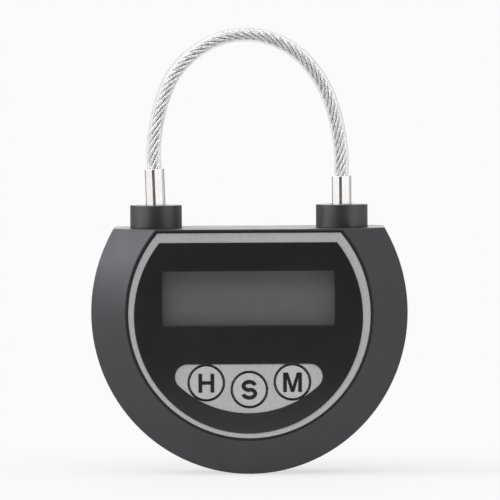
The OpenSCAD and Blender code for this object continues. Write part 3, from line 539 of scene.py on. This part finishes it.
# The door's opening comes too near the edge at its lower corners to round both
def backOuterEdge(p):
    if same(p.z, casing["flat"]):
        return p.y > casing["jointLand"]
    if same(p.y, casing["back"] - casing["chamfer"], 0.05) and onOutline(p):
        return True
    beside, below = casing["doorCorner"]
    return same(p.y, casing["back"]) and not (abs(p.x) > beside and p.z < below)


dressedNode("front_shell", "frontCasing", "casing", "root", casing["frontRound"], frontOuterEdge)
dressedNode("back_shell", "backCasing", "casing", "root", casing["backRound"], backOuterEdge)


face = {
    "plateFront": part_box("face_plate")[0].y / mm,
    "sheetFront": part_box("face_overlay")[0].y / mm,
    "plateRound": 0.15,
    "sheetRound": 0.1,
    "lensRound": 0.1,
}

facePlate = dressedNode(
    "face_plate", "facePlate", "face_silver", "root", face["plateRound"],
    lambda p: same(p.y, face["plateFront"]), segments=2,
)
dressedNode(
    "face_overlay", "faceSheet", "face_black", "root", face["sheetRound"],
    lambda p: same(p.y, face["sheetFront"]), segments=2,
)
dressedNode(
    "window_lens", "windowLens", "lens", "root", face["lensRound"],
    lambda p: same(p.y, face["sheetFront"]), segments=2,
)


keys = {
    "bodies": {"key_hour": "hour_key", "key_set": "set_key", "key_minute": "minute_key"},
    "round": 0.12,
    "rimReach": 4.1,
    "steepness": 0.94,
    "legendHeight": 0.03,
    "legendRound": 0.1,
}


# The rims of the caps and of their holes are painted black with the legend finish: painted shade for the
# dark gap that outlines each key
def paintRimShade(piece, centres):
    # The black legend finish, used here as painted shade on the side walls
    piece.data.materials.append(materials["legend"])
    reach = keys["rimReach"] * mm
    for polygon in piece.data.polygons:
        if abs(polygon.normal.y) > keys["steepness"]:
            continue
        for centre in centres:
            if math.hypot(polygon.center.x - centre.x, polygon.center.z - centre.z) < reach:
                polygon.material_index = 1


keyCentres = {node: sum(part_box(node), Vector()) / 2 for node in keys["bodies"]}
for node, body in keys["bodies"].items():
    keyCap = dressedNode(
        node, node.replace("key_", "") + "KeyCap", "keys", body, keys["round"],
        lambda p: same(p.y, face["sheetFront"]),
    )
    paintRimShade(keyCap, [keyCentres[node]])
# The plate's hole walls round the keys get the same painted shade
paintRimShade(facePlate, keyCentres.values())

# How far each legend lies from the middle of its key, in mm
legends = {
    "hour": {"node": "key_hour", "shift": (0.02, -0.09)},
    "set": {"node": "key_set", "shift": (-0.03, -0.05)},
    "minute": {"node": "key_minute", "shift": (0.02, -0.08)},
}


# Half the width and height, a stroke, half the bar and the bar's rise, in mm
def barLetterH():
    w, h, s, bar, up = 1.65, 1.97, 0.8, 0.37, 0.06
    return [
        (-w, -h), (-w + s, -h), (-w + s, up - bar), (w - s, up - bar), (w - s, -h), (w, -h),
        (w, h), (w - s, h), (w - s, up + bar), (-w + s, up + bar), (-w + s, h), (-w, h),
    ]


# Half the width and height, a stroke and half the point in the middle, in mm
def barLetterM():
    w, h, s, t = 1.95, 2.04, 0.78, 0.36
    return [
        (-w, -h), (-w + s, -h), (-w + s, h * 0.36), (-t, -h), (t, -h), (w - s, h * 0.36),
        (w - s, -h), (w, -h), (w, h), (w - s * 1.35, h), (0, -h * 0.4), (-w + s * 1.35, h), (-w, h),
    ]


# The outline of a stroke that follows two joined arcs, one open to the right, one to the left
def curveLetterS(half=0.41, sweep=262, steps=24):
    arcs = ((8, sweep, 1.18, 0.86, 0.8), (90, -sweep, 1.25, 0.86, -0.8))
    line = []
    for start, turned, rx, rz, z in arcs:
        for i in range(1 if line else 0, steps + 1):
            a = math.radians(start + turned * i / steps)
            line.append(Vector((rx * math.cos(a), rz * math.sin(a) + z)))
    left, right = [], []
    for index, point in enumerate(line):
        ahead = line[min(index + 1, len(line) - 1)] - line[max(index - 1, 0)]
        ahead.normalize()
        across = Vector((-ahead.y, ahead.x))
        left.append(point + half * across)
        right.append(point - half * across)
    return [tuple(p) for p in left + right[::-1]]


# A flat outline in mm raised a little off the front of its key, with its corners rounded
def makeLegend(name, outline, values, corner):
    centre = keyCentres[values["node"]]
    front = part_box(values["node"])[0].y
    aside, up = values["shift"]
    bm = bmesh.new()
    flat = [
        bm.verts.new((centre.x + (x + aside) * mm, front, centre.z + (z + up) * mm)) for x, z in outline
    ]
    bm.faces.new(flat)
    if corner:
        bmesh.ops.bevel(
            bm, geom=flat, offset=corner * mm, offset_type="OFFSET", segments=4, profile=0.5,
            affect="VERTICES", clamp_overlap=True, material=-1,
        )
    grown = bmesh.ops.extrude_face_region(bm, geom=bm.faces[:])
    raised = [v for v in grown["geom"] if isinstance(v, bmesh.types.BMVert)]
    bmesh.ops.translate(bm, verts=raised, vec=(0, -keys["legendHeight"] * mm, 0))
    body = keys["bodies"][values["node"]]
    return settlePiece(name, bm, "legend", body, weighted=False)


for key, outline, corner in (
    ("hour", barLetterH(), keys["legendRound"]),
    ("set", curveLetterS(), 0),
    ("minute", barLetterM(), keys["legendRound"]),
):
    makeLegend(key + "Legend", outline, legends[key], corner)
print("face and keys made")


collars = {
    "across": 19.4,
    "bore": 2.58,
    "radius": 5.4,
    "neck": 4.5,
    "flange": 0.75,
    "wall": 2.0,
    "top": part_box("left_collar")[1].z / mm,
    "shoulderRound": 0.12,
    "round": 0.18,
    "boreRound": 0.2,
}


# A closed outline with chosen corners rounded, from points and their radii in mm
def roundedProfile(points, radii, segments=4):
    made = []
    for index, (point, radius) in enumerate(zip(points, radii)):
        here = Vector(point)
        if not radius:
            made.append(tuple(here))
            continue
        back = (Vector(points[index - 1]) - here).normalized()
        ahead = (Vector(points[(index + 1) % len(points)]) - here).normalized()
        half = back.angle(ahead) / 2
        run = radius / math.tan(half)
        middle = here + (back + ahead).normalized() * radius / math.sin(half)
        start = here + back * run - middle
        end = here + ahead * run - middle
        sweep = start.angle(end)
        for step in range(segments + 1):
            share = step / segments
            first = math.sin((1 - share) * sweep) / math.sin(sweep)
            last = math.sin(share * sweep) / math.sin(sweep)
            made.append(tuple(middle + first * start + last * end))
    return made


# A bush with a groove that the casing's wall holds, open through its middle
def makeCollar(name, node, side, v):
    flat = casing["flat"]
    roof = flat - v["wall"]
    low = roof - v["flange"]
    points = [
        (v["bore"], low), (v["radius"], low), (v["radius"], roof), (v["neck"], roof),
        (v["neck"], flat), (v["radius"], flat), (v["radius"], v["top"]), (v["bore"], v["top"]),
    ]
    radii = [0, 0, 0, 0, 0, v["shoulderRound"], v["round"], v["boreRound"]]
    profile = roundedProfile(points, radii)
    piece = spunPiece(name, profile, Vector((side * v["across"] * mm, 0, 0)), "collar", "root")
    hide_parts(node)


makeCollar("leftCollar", "left_collar", -1, collars)
makeCollar("rightCollar", "right_collar", 1, collars)

ferrules = {
    "flats": 3.9,
    "length": 8.7,
    "turn": -7.0,
    "chamfer": 0.33,
    "edgeRound": 0.12,
    "endRound": 0.15,
    "lean": 2.0,
    "anchorTop": 54.8,
    "plugTop": 53.3,
    "gap": 0.05,
}
ferruleRadius = ferrules["flats"] / 2 / math.cos(math.radians(30))


# A hexagonal sleeve with its corners cut and rounded, put in its place by a matrix
def makeFerrule(name, node, body, place, v):
    angles = [math.radians(v["turn"] - 90 + 60 * index) for index in range(6)]
    hexagon = [ferruleRadius * Vector((math.cos(angle), math.sin(angle))) for angle in angles]
    corners = []
    for before, here, after in zip(hexagon[-1:] + hexagon, hexagon, hexagon[1:] + hexagon[:1]):
        corners.append(here + (before - here).normalized() * v["chamfer"])
        corners.append(here + (after - here).normalized() * v["chamfer"])
    outline = roundedProfile(corners, [v["edgeRound"]] * len(corners), 3)
    bm = bmesh.new()
    base = [bm.verts.new((x * mm, y * mm, 0)) for x, y in outline]
    bm.faces.new(base)
    grown = bmesh.ops.extrude_face_region(bm, geom=bm.faces[:])
    raised = [g for g in grown["geom"] if isinstance(g, bmesh.types.BMVert)]
    bmesh.ops.translate(bm, verts=raised, vec=(0, 0, v["length"] * mm))
    rims = [e for e in bm.edges if abs(e.verts[0].co.z - e.verts[1].co.z) < 1e-7]
    bmesh.ops.bevel(
        bm, geom=rims, offset=v["endRound"] * mm, offset_type="OFFSET", segments=3, profile=0.5,
        affect="EDGES", clamp_overlap=True, material=-1,
    )
    bm.transform(place)
    piece = settlePiece(name, bm, "ferrule", body)
    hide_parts(node)


lean = math.radians(ferrules["lean"])
leftPlace = (
    Matrix.Translation((-collars["across"] * mm, 0, ferrules["anchorTop"] * mm))
    @ Matrix.Rotation(-lean, 4, "Y")
    @ Matrix.Translation((0, 0, (ferrules["gap"] + ferruleRadius * math.sin(lean)) * mm))
)
rightPlace = Matrix.Translation((collars["across"] * mm, 0, ferrules["plugTop"] * mm))
makeFerrule("leftFerrule", "left_ferrule", "root", leftPlace, ferrules)
makeFerrule("rightFerrule", "right_ferrule", "plug", rightPlace, ferrules)
print("collars and ferrules made")


door = {"round": 0.15, "skin": 1.2}

dressedNode(
    "battery_door", "batteryDoor", "casing", "door", door["round"],
    lambda p: p.y > casing["back"] - door["skin"],
)
print("back made")


# The light round the object by its part along Y, and what the floor shows to each kind of ray
studio = {
    "around": [
        (-1.0, 0.1), (-0.92, 0.12), (-0.8, 0.95), (-0.65, 1.45), (-0.3, 1.25), (0.0, 0.86),
        (0.3, 0.76), (0.6, 0.5), (1.0, 0.42),
    ],
    "peak": 1.5,
    "white": 0.965,
    "floorSize": 30,
    "floorDull": 0.8,
    "floorSpread": 0.15,
    "floorGloss": 0.92,
    "floorPale": 0.2,
    "floorGlow": 0.672,
}


# How bright the studio is towards a direction, from its part along Y: dark at the camera's side
def aroundNode(tree, along):
    ramp = tree.nodes.new("ShaderNodeValToRGB")
    tree.links.new(rangeNode(tree, along, 0.0, 1.0, -1.0, 1.0), ramp.inputs[0])
    elements = ramp.color_ramp.elements
    for at, value in studio["around"][1:-1]:
        elements.new((at + 1) / 2)
    for element, (at, value) in zip(elements, studio["around"]):
        share = value / studio["peak"]
        element.color = (share, share, share, 1)
    ramp.color_ramp.interpolation = "EASE"
    return ramp.outputs[0]


# Whether a ray comes straight or through clear plastic from the camera, and whether it is gloss
def seenDirectly(tree):
    rays = tree.nodes.new("ShaderNodeLightPath")
    either = tree.nodes.new("ShaderNodeMath")
    either.operation = "MAXIMUM"
    tree.links.new(rays.outputs["Is Camera Ray"], either.inputs[0])
    tree.links.new(rays.outputs["Is Transmission Ray"], either.inputs[1])
    return either.outputs[0], rays.outputs["Is Glossy Ray"]


def mixShaders(tree, factor, first, second):
    mix = tree.nodes.new("ShaderNodeMixShader")
    for socket, link in zip(mix.inputs, (factor, first, second)):
        tree.links.new(link, socket)
    return mix.outputs[0]


# A floor that keeps the object's shadow and looks as white as the studio behind it
def makeFloor():
    bm = bmesh.new()
    bmesh.ops.create_grid(bm, x_segments=1, y_segments=1, size=studio["floorSize"])
    bmesh.ops.translate(bm, verts=bm.verts[:], vec=(0, 0, cadBox[0].z))
    mesh = bpy.data.meshes.new("floor")
    bm.to_mesh(mesh)
    bm.free()
    floor = bpy.data.objects.new("floor", mesh)
    bpy.context.scene.collection.objects.link(floor)
    material = bpy.data.materials.new("floor")
    material.use_nodes = True
    tree = material.node_tree
    tree.nodes.clear()
    output = tree.nodes.new("ShaderNodeOutputMaterial")
    dull = tree.nodes.new("ShaderNodeBsdfDiffuse")
    setInputs(dull, {"Color": (studio["floorDull"],) * 3})
    pale = tree.nodes.new("ShaderNodeBsdfDiffuse")
    setInputs(pale, {"Color": (studio["floorPale"],) * 3})
    glow = tree.nodes.new("ShaderNodeEmission")
    setInputs(glow, {"Color": (1.0, 1.0, 1.0), "Strength": studio["floorGlow"]})
    both = tree.nodes.new("ShaderNodeAddShader")
    tree.links.new(pale.outputs[0], both.inputs[0])
    tree.links.new(glow.outputs[0], both.inputs[1])
    # Gloss sees the far floor as bright as the studio above it
    aside = tree.nodes.new("ShaderNodeVectorMath")
    aside.operation = "MULTIPLY_ADD"
    tree.links.new(tree.nodes.new("ShaderNodeTexCoord").outputs["Object"], aside.inputs[0])
    aside.inputs[1].default_value = (1, 1, 0)
    aside.inputs[2].default_value = (0, 0, studio["floorSpread"])
    unit = tree.nodes.new("ShaderNodeVectorMath")
    unit.operation = "NORMALIZE"
    tree.links.new(aside.outputs[0], unit.inputs[0])
    parts = tree.nodes.new("ShaderNodeSeparateXYZ")
    tree.links.new(unit.outputs[0], parts.inputs[0])
    mirrored = tree.nodes.new("ShaderNodeEmission")
    tree.links.new(aroundNode(tree, parts.outputs["Y"]), mirrored.inputs["Color"])
    mirrored.inputs["Strength"].default_value = studio["peak"] * studio["floorGloss"]
    seen, glossy = seenDirectly(tree)
    lit = mixShaders(tree, glossy, dull.outputs[0], mirrored.outputs[0])
    tree.links.new(mixShaders(tree, seen, lit, both.outputs[0]), output.inputs["Surface"])
    mesh.materials.append(material)


# White behind the object, and the soft light of the studio for everything else
def makeWorld():
    world = bpy.data.worlds.new("studio")
    bpy.context.scene.world = world
    world.use_nodes = True
    tree = world.node_tree
    tree.nodes.clear()
    output = tree.nodes.new("ShaderNodeOutputWorld")
    parts = tree.nodes.new("ShaderNodeSeparateXYZ")
    tree.links.new(tree.nodes.new("ShaderNodeTexCoord").outputs["Generated"], parts.inputs[0])
    around = tree.nodes.new("ShaderNodeBackground")
    tree.links.new(aroundNode(tree, parts.outputs["Y"]), around.inputs["Color"])
    around.inputs["Strength"].default_value = studio["peak"]
    white = tree.nodes.new("ShaderNodeBackground")
    setInputs(white, {"Color": (studio["white"],) * 3})
    seen, glossy = seenDirectly(tree)
    tree.links.new(mixShaders(tree, seen, around.outputs[0], white.outputs[0]), output.inputs["Surface"])


# A round soft light far away, as wide as its angle in degrees
def makeSun(name, direction, radiance, angle, tint=(1, 1, 1)):
    data = bpy.data.lights.new(name, "SUN")
    data.color = tint
    data.angle = math.radians(angle)
    data.energy = radiance * math.pi * math.sin(math.radians(angle / 2)) ** 2
    lamp = bpy.data.objects.new(name, data)
    lamp.rotation_mode = "QUATERNION"
    lamp.rotation_quaternion = Vector(direction).to_track_quat("Z", "Y")
    bpy.context.scene.collection.objects.link(lamp)


suns = {
    "keyLight": {"direction": (-0.85, -0.1, 0.5), "radiance": 3.3, "angle": 50, "tint": (0.92, 0.92, 1.0)},
    "fillLight": {"direction": (-0.05, -0.7, 0.75), "radiance": 2.0, "angle": 40},
    "rimLight": {"direction": (0, 0.85, 0.45), "radiance": 2.1, "angle": 40},
}

makeFloor()
makeWorld()
for name, values in suns.items():
    makeSun(name, **values)
bpy.context.scene.view_settings.view_transform = "Standard"
print("stage made")
